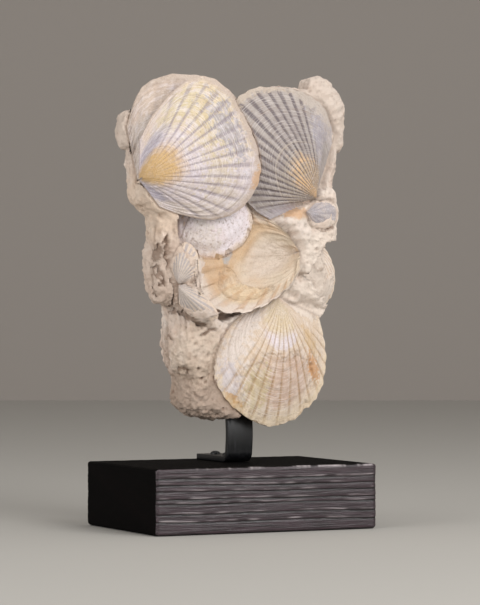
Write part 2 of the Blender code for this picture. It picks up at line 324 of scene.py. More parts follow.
@dataclass(frozen=True)
class FossilShell:
    """Calcite shell, buried and then cleaned: chalky, with a low gloss on the ribs."""

    name: str
    ridge: str
    ridge_far: str
    groove: str
    rim: str
    fleck: str = "#e9e2e6"
    flecks: float = 0.3
    fleck_grid: tuple[float, float] = (30.0, 24.0)
    contrast: float = 0.8
    threads: float = 0.3
    rim_start: float = 0.93
    specks: float = 0.3
    roughness: tuple[float, float] = (0.5, 0.78)
    striae: float = 0.9
    stains: tuple[Stain, ...] = ()
    overlays: tuple[Stain, ...] = ()
    dirt_and_shade: str = "#84664a"

    def material(self) -> bpy.types.Material:
        """Builds the shell's material.

        Returns:
            The material, which reads the fan map and the rib and crevice attributes.
        """
        made, tree, shader = painted(self.name)
        fan = add_node(tree, "ShaderNodeUVMap", uv_map="fan").outputs[0]
        where = add_node(tree, "ShaderNodeTexCoord").outputs["Object"]
        threads = self.fan_noise(tree, fan, (12.0, 110.0), 3.0)
        # clouds of about 22 mm, as the shell's layers wear through unevenly
        cloud = speckle(tree, where, 22.0, 6.0, 0.65)
        colour = self.ground(tree, fan, where, cloud)
        colour = self.lined(tree, fan, threads, cloud, colour)
        for stain in self.overlays:
            colour = stain.paint(tree, fan, where, colour)
        speck = speckle(tree, where, 2.6, 4.0, 0.7)
        fine = speckle(tree, where, 1.3, 3.0, 0.7)
        dusty = ramp(tree, fine, 0.5, 0.75, 0.4)
        dots = ramp(tree, speck, 0.62, 0.76, self.specks)
        # dust, specks, and the crevice attribute, which holds dirt and painted shade in the seams
        for amount in (dusty, dots, stored(tree, "crevice")):
            colour = mixed(tree, amount, colour, self.dirt_and_shade)
        tree.links.new(colour, shader.inputs["Base Color"])
        tree.links.new(ramp(tree, cloud, 0.3, 0.7, self.roughness[1], self.roughness[0]),
                       shader.inputs["Roughness"])
        shader.inputs["IOR"].default_value = CALCITE_IOR
        striae = self.fan_noise(tree, fan, (170.0, 5.0), 2.0)
        height = times_plus(tree, threads, 1.0, speck)
        height = times_plus(tree, striae, self.striae, height)
        bumped(tree, times_plus(tree, fine, 0.5, height), 0.7, 0.7)
        return made

    def ground(self, tree: Tree, fan: Socket, where: Socket, cloud: Socket) -> Socket:
        """The shell's own colours: clouds, stains, and a mosaic where ribs cross growth lines.

        Args:
            tree: the material's node tree.
            fan: the fan map's output.
            where: object coordinates.
            cloud: the noise that the layers wear by.

        Returns:
            The colour so far.
        """
        colour = mixed(tree, ramp(tree, cloud, 0.38, 0.6), self.ridge, self.ridge_far)
        for stain in self.stains:
            colour = stain.paint(tree, fan, where, colour)
        mosaic = self.fan_noise(tree, fan, self.fleck_grid, 1.5)
        return mixed(tree, ramp(tree, mosaic, 0.5, 0.6, self.flecks), colour, self.fleck)

    def lined(self, tree: Tree, fan: Socket, threads: Socket, cloud: Socket, colour: Socket) -> Socket:
        """Darkens the grooves, whitens the growth threads and lays the rim's band.

        Args:
            tree: the material's node tree.
            fan: the fan map's output.
            threads: the noise that runs along the growth lines.
            cloud: the noise that frays the rim's band.
            colour: the colour so far.

        Returns:
            The colour with its lines.
        """
        streaks = self.fan_noise(tree, fan, (130.0, 6.0), 2.0)
        ribbing = times_plus(tree, streaks, 0.7, stored(tree, "rib"))
        faded = add_node(tree, "ShaderNodeMath", {0: ribbing, 1: times_plus(tree, cloud, -0.9, 0.45)},
                         operation="SUBTRACT")
        colour = mixed(tree, ramp(tree, faded.outputs[0], 1.1, 0.3, self.contrast), colour, self.groove)
        colour = mixed(tree, ramp(tree, threads, 0.5, 0.66, self.threads), colour, THREAD_COLOUR)
        growth = add_node(tree, "ShaderNodeSeparateXYZ", {0: fan}).outputs[1]
        ragged = times_plus(tree, cloud, 0.3, growth)
        band = ramp(tree, ragged, self.rim_start + 0.11, self.rim_start + 0.19)
        return mixed(tree, band, colour, self.rim)

    def fan_noise(self, tree: Tree, fan: Socket, scale: tuple[float, float], detail: float) -> Socket:
        """Noise drawn out along the ribs or along the growth lines.

        Args:
            tree: the material's node tree.
            fan: the fan map's output.
            scale: how many grains fit across the fan, and from beak to margin.
            detail: the noise's detail.

        Returns:
            The noise's value.
        """
        drawn = add_node(tree, "ShaderNodeMapping", {"Vector": fan, "Scale": (*scale, 1.0)})
        return add_node(tree, "ShaderNodeTexNoise", {"Vector": drawn.outputs[0], "Scale": 1.0,
                                                     "Detail": detail}).outputs["Fac"]


@dataclass
class ScallopValve:
    """One valve: a fan that grows on a spiral about its hinge line, as in the solids."""

    name: str
    beak: tuple[float, float, float]
    turn: float
    yaw: float
    pitch: float
    gape: float
    reach: tuple[float, ...]
    spiral: float
    ribs: int
    rib_height: float
    thick: float
    finish: FossilShell
    shows: Shows = Shows.OUTSIDE
    under: tuple[str, ...] = ()
    ribbed: float = 0.8
    groove_share: float = 0.42
    rib_growth: tuple[float, float] = (0.0, 0.6)
    rim_flat: float = 0.5
    worn: tuple[tuple[float, float, float, float], ...] = ()
    stops: tuple[float, ...] = ()
    stop_depth: float = 0.3
    laps: tuple[tuple[float, float, float, float, float], ...] = ()
    columns: int = 180
    rows: int = 120
    chips: float = 0.012
    peels: tuple[tuple[float, float, float, float, float], ...] = ()
    crusts: tuple[tuple[float, float, float, float, float], ...] = ()
    terraces: float = 0.35
    pitted: float = 0.3
    skirt: float = 6.0
    seed: float = 0.0

    def facing(self) -> tuple[np.ndarray, np.ndarray]:
        """Where the valve stands and how it is turned.

        Returns:
            The beak's place in metres, and the across, along and outward axes as columns.
        """
        yaw, pitch = math.radians(self.yaw), math.radians(self.pitch)
        front = Vector((math.sin(yaw) * math.cos(pitch), -math.cos(yaw) * math.cos(pitch), math.sin(pitch)))
        up = (Vector((0, 0, 1)) - front * front.z).normalized()
        right = up.cross(front)
        turn = math.radians(self.turn)
        along = up * math.cos(turn) + right * math.sin(turn)
        outward = front if self.shows is Shows.OUTSIDE else -front
        axes = Matrix((along.cross(outward), along, outward)).transposed()
        return np.array(self.beak) * MM, np.array(axes)

    def reach_at(self, across: np.ndarray) -> np.ndarray:
        """Distance from the beak to the margin.

        Args:
            across: places across the fan, 0 to 1.

        Returns:
            Distances in metres, on a smooth curve through the valve's reaches.
        """
        last = len(self.reach) - 1
        place = np.clip(across, 0.0, 0.9999) * last
        index = place.astype(int)
        share = place - index
        table = np.array(self.reach, dtype=float)
        before, start, end, after = (table[np.clip(index + step, 0, last)] for step in (-1, 0, 1, 2))
        slope_in, slope_out = (end - before) / 2.0, (after - start) / 2.0
        cubic = 2.0 * (start - end) + slope_in + slope_out
        square = 3.0 * (end - start) - 2.0 * slope_in - slope_out
        return (((cubic * share + square) * share + slope_in) * share + start) * MM

    def shoulder(self, across: np.ndarray) -> np.ndarray:
        """How much of its rise the valve keeps towards its two side edges, 1 in the middle."""
        return 1.0 - SHOULDER_DROP * smooth(np.abs(2.0 * across - 1.0), SHOULDER_START, 1.0)

    def dome(self, across: np.ndarray, growth: np.ndarray) -> np.ndarray:
        """Points of the smooth outer face, in the valve's own axes.

        Args:
            across: places across the fan, 0 to 1.
            growth: how grown the valve was there, 0 at the beak and 1 at the margin.

        Returns:
            One row for each place, in metres.
        """
        scale = growth + (1.0 - growth) * math.exp(-self.spiral * BEAK_TURN)
        theta = math.radians(self.gape) * (2.0 * across - 1.0)
        reach = self.reach_at(across) * scale
        turn = -np.log(scale) / self.spiral
        flat = reach * np.cos(turn)
        rise = reach * np.cos(theta) * np.sin(turn) * self.shoulder(across)
        return rows(flat * np.sin(theta), flat * np.cos(theta), rise)

    def lean(self, across: np.ndarray, growth: np.ndarray) -> np.ndarray:
        """The outer face's normals.

        Args:
            across: places across the fan.
            growth: places from beak to margin.

        Returns:
            One unit row for each place.
        """
        step = 0.004
        over = self.dome(across + step, growth) - self.dome(across - step, growth)
        out = self.dome(across, np.clip(growth + step, 0.0, 1.0)) - self.dome(across, growth - step)
        facing = np.cross(over, out)
        return facing / np.maximum(np.linalg.norm(facing, axis=1, keepdims=True), 1e-12)

    def relief(self, across: np.ndarray, growth: np.ndarray) -> tuple[np.ndarray, np.ndarray, np.ndarray]:
        """The ribs, growth lines, worn patches and crusts on the side that shows.

        Args:
            across: places across the fan.
            growth: places from beak to margin.

        Returns:
            How far each place stands off the smooth face in metres, how much of a rib it is, and
            how much dirt it holds.
        """
        size = max(self.reach)
        side = np.abs(2.0 * across - 1.0)
        ribbed = 1.0 - smooth(side, self.ribbed - 0.05, self.ribbed + 0.08)
        place = rows(across * 14.0, growth * 2.5)
        phase = self.ribs * (across - 0.5) / self.ribbed + 0.16 * grain(place, self.seed)
        wave = 0.5 + 0.5 * np.cos(2.0 * math.pi * phase)
        rib = smooth(wave, self.groove_share - 0.2, self.groove_share + 0.25)
        start, full = self.rib_growth
        grown = np.clip((growth - start) / (full - start), 0.06, 1.0)
        grown *= 1.0 - self.rim_flat * smooth(growth, 0.82, 1.0)
        uneven = grain(rows(across * 4.0, growth * 4.0), self.seed + 5.0)
        for oval in self.worn:
            ribbed *= smooth(patch(across, growth, oval) + 0.3 * uneven, 0.7, 1.15)
        lift = self.rib_height * (rib - 0.5) * ribbed * grown * (0.75 + 0.5 * uneven)
        lift += 0.11 * grain(rows(across * 6.0, growth * size / 1.3), self.seed + 1.0)
        lift += self.terraces * grain(rows(across * 2.5, growth * size / 7.0), self.seed + 2.0)
        flat = self.dome(across, growth) / MM
        lift += 0.22 * grain(flat / 6.0, self.seed + 3.0) + 0.10 * grain(flat / 1.8, self.seed + 4.0)
        pits = smooth(grain(flat / 2.0, self.seed + 6.0), 0.72 - 0.3 * self.pitted, 0.9 - 0.25 * self.pitted)
        lift -= 0.35 * pits
        crevice = 0.5 * pits
        wander = growth + 0.012 * grain(flat / 18.0, self.seed + 13.0)
        for stop in self.stops:
            line = np.exp(-((wander - stop) / 0.007) ** 2)
            broken = np.clip(0.5 + 1.4 * grain(flat / 9.0, self.seed + 14.0 + stop), 0.0, 1.0)
            lift -= self.stop_depth * broken * line
            lift += 0.6 * self.stop_depth * np.exp(-((wander - stop + 0.02) / 0.014) ** 2)
            crevice += self.stop_depth * broken * line
        ragged = 0.25 * grain(flat / 7.0, self.seed + 7.0) + 0.12 * grain(flat / 2.0, self.seed + 8.0)
        for *oval, deep in self.peels:
            off = patch(across, growth, oval) + ragged
            lift -= deep * (1.0 - smooth(off, 0.94, 1.0))
            crevice += 0.35 * np.exp(-((off - 0.97) / 0.03) ** 2)
        for *oval, high in self.crusts:
            off = patch(across, growth, oval) + ragged
            lump = 1.0 - smooth(off, 0.7, 1.0)
            lift += high * lump * (0.8 + 0.8 * grain(flat / 5.0, self.seed + 9.0))
            crevice += 0.12 * abs(high) * np.exp(-((off - 1.0) / 0.06) ** 2)
        shown = ribbed * smooth(growth, start + 0.02, start + 0.15)
        rib = rib * shown + (1.0 - shown) * 0.75
        return lift * MM, rib, np.clip(crevice, 0.0, 1.0)

    def broken_edge(self, across: np.ndarray, growth: np.ndarray) -> np.ndarray:
        """Scallops and chips along the margin.

        Args:
            across: places across the fan.
            growth: places from beak to margin.

        Returns:
            Factors on the distance from the beak.
        """
        phase = self.ribs * (across - 0.5) / self.ribbed
        place = rows(across * 9.0, 0.0 * across)
        chip = smooth(grain(place * 2.3, self.seed + 11.0), 0.1, 0.45)
        chip += 0.5 * grain(place * 5.0, self.seed + 12.0)
        edge = 0.002 * np.cos(2.0 * math.pi * phase) - self.chips * chip
        return 1.0 + edge * smooth(growth, 0.9, 1.0)

    def tuck(self, points: np.ndarray, depth: float, grow: float = 0.0, lapped: bool = False,
             skirt: float = 0.0) -> tuple[np.ndarray, np.ndarray]:
        """Moves what would stand through this valve to behind it.

        Args:
            points: places in the row frame, in metres.
            depth: how far behind the smooth outer face they may come, in mm. On a valve that shows
                its inside this is measured from the face in the rock.
            grow: how far past the valve's margin this reaches, in mm.
            lapped: whether rock may lap over the valve where its laps say so.
            skirt: how far outside the margin rock is drawn level with it, in mm.

        Returns:
            The moved points, and how far each lies inside the margin in metres, negative outside
            and for points that are far behind the face.
        """
        place, axes = self.facing()
        local = (points - place) @ axes
        theta = np.arctan2(local[:, 0], local[:, 1])
        plan = np.hypot(local[:, 0], local[:, 1])
        gape = math.radians(self.gape)
        across = np.clip((theta / gape + 1.0) / 2.0, 0.0, 1.0)
        reach = self.reach_at(across)
        scale = np.linspace(math.exp(-self.spiral * BEAK_TURN), 1.0, 200)
        turn = -np.log(scale) / self.spiral
        ratio = np.clip(plan / reach, 0.0, 1.0)
        rise = np.interp(ratio, scale * np.cos(turn), scale * np.sin(turn))
        height = reach * np.cos(theta) * rise * self.shoulder(across)
        beside = np.where(np.abs(theta) < gape, 1.0, -1.0) * plan * np.sin(np.minimum(
            np.abs(np.abs(theta) - gape), math.pi / 2.0))
        inside = np.minimum(reach - plan, beside)
        hit = inside > -grow * MM
        limit = height - depth * MM
        near = 1.0 - smooth(np.abs(local[:, 2] - limit) / MM, 0.5 * NEAR_FACE, NEAR_FACE)
        if skirt > 0.0:
            level = limit + 0.12 * inside
            drawn = near * (1.0 - smooth(-inside / MM, 0.2 * skirt, skirt)) * ~hit
            local[:, 2] += drawn * (level - local[:, 2])
        if lapped and self.laps:
            growth = (np.interp(ratio, scale * np.cos(turn), scale) - scale[0]) / (1.0 - scale[0])
            ragged = 0.3 * grain(points / (9.0 * MM), self.seed + 20.0)
            ragged += 0.22 * grain(points / (3.5 * MM), self.seed + 21.0)
            outward = 1.0 if self.shows is Shows.OUTSIDE else -1.0
            for *oval, cover in self.laps:
                off = patch(across, growth, oval) + ragged
                limit += outward * (cover + depth) * MM * (1.0 - smooth(off, 0.75, 1.05))
                drawn = near * (hit & (off < 0.9))
                local[:, 2] += drawn * (limit - local[:, 2])
        if self.shows is Shows.OUTSIDE:
            local[:, 2] = np.where(hit, np.minimum(local[:, 2], limit), local[:, 2])
        else:
            local[:, 2] = np.where(hit, np.maximum(local[:, 2], limit), local[:, 2])
        beside_face = np.abs(local[:, 2] - limit) < SEAM_DEPTH * MM
        return local @ axes.T + place, np.where(beside_face, inside, -1.0)

    def sheets(self) -> bpy.types.Mesh:
        """A flat closed block for the valve's two faces.

        Returns:
            A mesh with across in x, 1 - growth in y, and 0 for the fine sheet or 1 for the hidden one in z.
        """
        bm = bmesh.new()
        for columns, across, level in ((self.columns, self.rows, 0.0), (*HIDDEN_GRID, 1.0)):
            made = bmesh.ops.create_grid(bm, x_segments=columns, y_segments=across, size=0.5)["verts"]
            bmesh.ops.translate(bm, verts=made, vec=(0.5, 0.5, level))
        for axis, end in ((0, 0.0), (0, 1.0), (1, 0.0), (1, 1.0)):
            rims = [edge for edge in bm.edges if edge.is_boundary
                    and all(abs(vert.co[axis] - end) < 1e-4 for vert in edge.verts)
                    and edge.verts[0].co.z == edge.verts[1].co.z]
            bmesh.ops.bridge_loops(bm, edges=rims)
        fan = bm.loops.layers.uv.new("fan")
        for face in bm.faces:
            for loop in face.loops:
                loop[fan].uv = (loop.vert.co.x, 1.0 - loop.vert.co.y)
        return baked(bm, self.name)

    def build(self, valves: dict[str, "ScallopValve"]) -> bpy.types.Object:
        """Models the valve in place of its solid.

        Args:
            valves: every valve by name, for those that lie over this one.

        Returns:
            The dressed piece.
        """
        mesh = self.sheets()
        flat = points_of(mesh)
        across, growth = flat[:, 0], 1.0 - flat[:, 1]
        fine = flat[:, 2] < 0.5
        points = self.dome(across, growth)
        lift, rib, crevice = self.relief(across, growth)
        edge = self.broken_edge(across, growth)
        points[:, :2] *= edge[:, None]
        wall = self.thick * MM * (1.0 - 0.3 * smooth(growth, 0.9, 1.0))
        points += np.where(fine, lift, 0.0)[:, None] * self.lean(across, growth)
        behind = ~fine if self.shows is Shows.OUTSIDE else fine
        points[:, 2] -= np.where(behind, wall, 0.0)
        place, axes = self.facing()
        points = points @ axes.T + place
        for name in self.under:
            upper = valves[name]
            depth = upper.thick + GAP if upper.shows is Shows.OUTSIDE else -GAP
            points, inside = upper.tuck(points, depth, TUCKED_MARGIN)
            # darker in the seam at the margin of each valve over this one: dirt and painted shade
            crevice = np.maximum(crevice, 0.6 * np.exp(-((inside / MM + 0.5) / 0.8) ** 2))
        put_points(mesh, points)
        bm = bmesh.new()
        bm.from_mesh(mesh)
        bmesh.ops.recalc_face_normals(bm, faces=bm.faces)
        bm.to_mesh(mesh)
        bm.free()
        store(mesh, "rib", np.where(fine, rib, 0.6))
        store(mesh, "crevice", np.where(fine, crevice, 0.4))
        piece = finish_object(f"{self.name}_shell", mesh, [self.finish.material()])
        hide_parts(self.name)
        return piece


@dataclass(frozen=True)
class Limestone:
    """Soft marly limestone: chalky and matt, pale where it was scraped, brown in its pits."""

    name: str = "marly_limestone"
    base: str = "#e2cdbe"
    pale: str = "#f0e3d8"
    brown: str = "#c4a792"
    dirt_and_shade: str = "#7c6250"
    stains: tuple[Stain, ...] = (
        Stain((-0.035, -0.02, 0.116), (0.06, 0.06, 0.036), "#ad9786", 0.85, 0.4, 12.0),
        Stain((0.048, -0.034, 0.278), (0.014, 0.02, 0.006), "#dcae82", 0.8, 0.5, 5.0),
        Stain((-0.072, -0.01, 0.225), (0.024, 0.05, 0.05), "#d3bdac", 0.7, 0.5, 10.0),
        Stain((0.085, -0.02, 0.365), (0.04, 0.06, 0.05), "#d8c8bb", 0.8, 0.4, 12.0),
        Stain((-0.091, 0.0, 0.351), (0.02, 0.06, 0.03), "#cdbcae", 0.8, 0.4, 8.0),
        Stain((0.08, -0.02, 0.22), (0.05, 0.06, 0.07), "#efe0d2", 0.8, 0.4, 12.0),
        Stain((-0.045, -0.03, 0.155), (0.03, 0.04, 0.03), "#d5c1ae", 0.8, 0.6, 6.0),
        Stain((-0.085, -0.02, 0.285), (0.03, 0.06, 0.035), "#dcc4ac", 0.6, 0.5, 9.0),
    )

    def material(self) -> bpy.types.Material:
        """Builds the limestone's material.

        Returns:
            The material, which reads the crevice attribute.
        """
        made, tree, shader = painted(self.name)
        where = add_node(tree, "ShaderNodeTexCoord").outputs["Object"]
        # beds and clouds of about 28 mm, rust of 8 mm, grit of 2 mm
        cloud = speckle(tree, where, 28.0, 7.0, 0.65)
        colour = mixed(tree, ramp(tree, cloud, 0.4, 0.62), self.base, self.pale)
        for stain in self.stains:
            colour = stain.paint(tree, where, where, colour)
        rust = speckle(tree, where, 8.0, 6.0, 0.7)
        colour = mixed(tree, ramp(tree, rust, 0.54, 0.72, 0.45), colour, self.brown)
        grit = speckle(tree, where, 2.2, 6.0, 0.75)
        # grit, and the crevice attribute's dirt and painted shade
        for amount in (ramp(tree, grit, 0.6, 0.74, 0.5), stored(tree, "crevice")):
            colour = mixed(tree, amount, colour, self.dirt_and_shade)
        tree.links.new(colour, shader.inputs["Base Color"])
        shader.inputs["Roughness"].default_value = 0.92
        shader.inputs["Specular IOR Level"].default_value = 0.3
        bumped(tree, times_plus(tree, rust, 2.0, grit), 1.0, 1.6)
        return made


@dataclass(frozen=True)
class Cleft:
    """A slit or cavity in the front of the rock, between two places seen from the front."""

    start: tuple[float, float]
    end: tuple[float, float]
    width: float
    depth: float

    def cut(self, points: np.ndarray, wander: np.ndarray) -> tuple[np.ndarray, np.ndarray]:
        """How deep the slit is at each point.

        Args:
            points: places in mm.
            wander: how far the slit is shifted at each point, in x and z.

        Returns:
            Depths in mm, and how dirty each point is.
        """
        start, end = np.array(self.start), np.array(self.end)
        front = points[:, [0, 2]] + wander - start
        along = end - start
        share = np.clip(front @ along / (along @ along), 0.0, 1.0)
        off = np.linalg.norm(front - share[:, None] * along, axis=1)
        width = self.width * (0.35 + 0.65 * np.sqrt(np.clip(4.0 * share * (1.0 - share), 0.0, 1.0)))
        inside = 1.0 - smooth(off, 0.45 * width, width)
        faces_front = smooth(-points[:, 1], -5.0, 8.0)
        return self.depth * inside * faces_front, smooth(inside * faces_front, 0.25, 0.8)


@dataclass
class RockMatrix:
    """The limestone that holds the valves: lumps run together, weathered, and pressed to the valves."""

    lumps: tuple = (
        ((-17, 2, 125), (35, 29, 28)), ((12, -2, 142), (52, 27, 38)),
        ((36, -2, 154), (42, 26, 48)), ((-30, -2, 178), (32, 31, 52)),
        ((14, -2, 206), (66, 33, 54)), ((57, -7, 221), (35, 25, 36)),
        ((-44, -4, 238), (33, 30, 45)), ((0, -2, 265), (80, 34, 50)),
        ((58, -4, 272), (38, 36, 40)), ((66, -16, 250), (20, 20, 32)),
        ((77, -10, 229), (21, 23, 35)), ((55, -10, 197), (24, 21, 22)),
        ((-48, -4, 328), (48, 36, 58)), ((50, -4, 334), (46, 32, 56)),
        ((2, -2, 322), (58, 32, 58)), ((80, -8, 382), (13, 18, 20)),
        ((87, -6, 361), (19, 21, 31)), ((-91, 14, 351), (12, 14, 17)),
        ((-82, 0, 298), (14, 16, 15)), ((-63, -2, 229), (16, 26, 31)),
    )
    power: float = 3.2
    voxel: float = 1.35
    swell: float = 2.6
    swell_size: float = 26.0
    scoop: float = 3.2
    scoop_size: float = 12.0
    pit: float = 2.1
    buried: float = 0.55
    past_margin: float = 0.4
    clefts: tuple[Cleft, ...] = (
        Cleft((-80, 212), (-71, 180), 2.2, 6.0), Cleft((-71, 222), (-61, 190), 1.8, 5.0),
        Cleft((-60, 191), (-40, 179), 4.6, 5.0), Cleft((-72, 258), (-73, 228), 2.6, 5.0),
        Cleft((-76, 250), (-79, 236), 1.8, 3.0), Cleft((-28, 186), (-10, 189), 4.2, 8.0),
        Cleft((70, 262), (88, 266), 1.6, 3.0), Cleft((-79, 232), (-76, 214), 1.6, 3.5),
        Cleft((-66, 176), (-62, 166), 1.5, 3.0), Cleft((-44, 172), (-30, 176), 2.0, 3.0),
        Cleft((81, 199), (83, 203), 3.0, 4.0), Cleft((-58, 142), (-51, 138), 1.8, 3.0),
    )
    finish: Limestone = Limestone()

    def body(self) -> bpy.types.Object:
        """Runs the lumps together.

        Returns:
            An object with a closed, evenly fine mesh.
        """
        bm = bmesh.new()
        for centre, radii in self.lumps:
            made = bmesh.ops.create_icosphere(bm, subdivisions=4, radius=1.0)["verts"]
            for vert in made:
                vert.co /= sum(abs(side) ** self.power for side in vert.co) ** (1.0 / self.power)
            bmesh.ops.scale(bm, vec=Vector(radii) * MM, verts=made)
            bmesh.ops.translate(bm, vec=Vector(centre) * MM, verts=made)
        rock = bpy.data.objects.new("rock", baked(bm, "rock"))
        bpy.context.scene.collection.objects.link(rock)
        remesh = rock.modifiers.new("remesh", "REMESH")
        remesh.mode = "VOXEL"
        remesh.voxel_size = self.voxel * MM
        return rock

    def weather(self, points: np.ndarray, normals: np.ndarray) -> tuple[np.ndarray, np.ndarray]:
        """Swells, slabs, pits and clefts.

        Args:
            points: places on the rock in mm.
            normals: its normals there.

        Returns:
            The weathered places, and how dark each is: dirt in pits and clefts, and painted shade in the fine
            relief's hollows.
        """
        push = self.swell * grain(points / self.swell_size)
        bent = points + 2.5 * grain(points / 12.0, 9.0)[:, None]
        # scoops with sharp crests between them, as a chisel leaves soft stone
        push += self.scoop * (cells(bent / self.scoop_size, 4.0) - 0.5)
        fine = 2.3 * (cells(bent / 4.8, 5.0) - 0.5) + 0.5 * grain(points / 2.2, 11.0)
        left = smooth(-points[:, 0], 38.0, 62.0) * smooth(-points[:, 2], -275.0, -262.0)
        slabs = grain(points / np.array([4.0, 9.0, 42.0]), 3.0)
        push += left * (2.2 * slabs - 0.6)
        coarse = smooth(-points[:, 2], -165.0, -140.0) * smooth(-points[:, 0], -5.0, 12.0)
        coarse = np.maximum(coarse, 0.7 * left)
        fine += coarse * (1.8 * (cells(bent / 3.2, 6.0) - 0.5) + 0.8 * grain(points / 2.0, 6.0))
        push += fine
        holes = cells(points / 7.5, 2.0)
        sparse = smooth(grain(points / 15.0, 8.0), -0.4, 0.3)
        pits = (1.0 - smooth(holes, 0.12, 0.30)) * sparse * (0.55 + 0.45 * coarse)
        push -= self.pit * pits
        # dirt in the pits, the low parts of the left flank's slabs darker, and painted shade where the fine
        # relief dips
        dirt_and_shade = 0.55 * pits + 0.45 * left * smooth(-slabs, 0.15, 0.5) + 0.4 * smooth(-fine, 0.2, 1.6)
        deeper = np.zeros(len(points))
        wander = np.stack([grain(points / 6.0, seed) + 0.5 * grain(points / 2.5, seed)
                           for seed in (31.0, 37.0)], axis=1)
        for cleft in self.clefts:
            cut, dirty = cleft.cut(points, 2.4 * wander)
            deeper = np.maximum(deeper, cut)
            dirt_and_shade = np.maximum(dirt_and_shade, 0.68 * dirty)
        moved = points + normals * push[:, None]
        moved[:, 1] += deeper
        return moved, dirt_and_shade

    def build(self, valves: dict[str, ScallopValve]) -> bpy.types.Object:
        """Models the rock in place of its solid.

        Args:
            valves: the valves that it is pressed to.

        Returns:
            The dressed piece.
        """
        rock = self.body()
        graph = bpy.context.evaluated_depsgraph_get()
        mesh = bpy.data.meshes.new_from_object(rock.evaluated_get(graph))
        bpy.data.objects.remove(rock)
        points = points_of(mesh)
        normals = np.array([tuple(vert.normal) for vert in mesh.vertices])
        points, dirt_and_shade = self.weather(points / MM, normals)
        points *= MM
        seam = np.zeros(len(points))
        for skirt in (1.0, 0.0, 0.0):
            for valve in valves.values():
                points, inside = valve.tuck(points, self.buried * valve.thick, self.past_margin, True,
                                            skirt * valve.skirt)
                seam = np.maximum(seam, np.exp(-((inside / MM + 0.6) / 1.1) ** 2))
        put_points(mesh, points)
        # the seam along each valve's margin darkens with dirt and painted shade
        store(mesh, "crevice", np.clip(dirt_and_shade + 0.4 * seam, 0.0, 1.0))
        piece = finish_object("matrix_limestone", mesh, [self.finish.material()], 180.0)
        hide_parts("matrix")
        return piece


@dataclass(frozen=True)
class BrushedTimber:
    """Softwood, wire-brushed and stained near black, with painted highlights along its rings and its top
    edge.
    """

    name: str
    ridge: str
    groove: str
    roughness: float = 0.33
    shine: float = 0.5
    # colour of the painted highlights
    painted_highlight: str = "#c9bfc0"

    def material(self) -> bpy.types.Material:
        """Builds the timber's material.

        Returns:
            The material, which reads the groove attribute and the worn attribute, which holds painted
            highlights.
        """
        made, tree, shader = painted(self.name)
        where = add_node(tree, "ShaderNodeTexCoord").outputs["Object"]
        # fibres about 0.9 mm across and 33 mm long
        drawn = add_node(tree, "ShaderNodeMapping", {"Vector": where, "Scale": (30.0, 1100.0, 1100.0)})
        fibre = add_node(tree, "ShaderNodeTexNoise", {"Vector": drawn.outputs[0], "Scale": 1.0,
                                                      "Detail": 5.0, "Roughness": 0.6}).outputs["Fac"]
        shade = times_plus(tree, fibre, 3.4, -1.5)
        depth = add_node(tree, "ShaderNodeMath", {0: stored(tree, "groove"), 1: shade}, operation="ADD",
                         use_clamp=True)
        colour = mixed(tree, depth.outputs[0], self.ridge, self.groove)
        # painted highlights where the worn attribute holds them, broken up by the fibres
        lighter_mark = times_plus(tree, ramp(tree, fibre, 0.4, 0.55, 0.95), stored(tree, "worn"), 0.0)
        colour = mixed(tree, lighter_mark, colour, self.painted_highlight)
        tree.links.new(colour, shader.inputs["Base Color"])
        shader.inputs["Roughness"].default_value = self.roughness
        shader.inputs["Specular IOR Level"].default_value = self.shine
        bumped(tree, fibre, 0.9, 0.6)
        return made


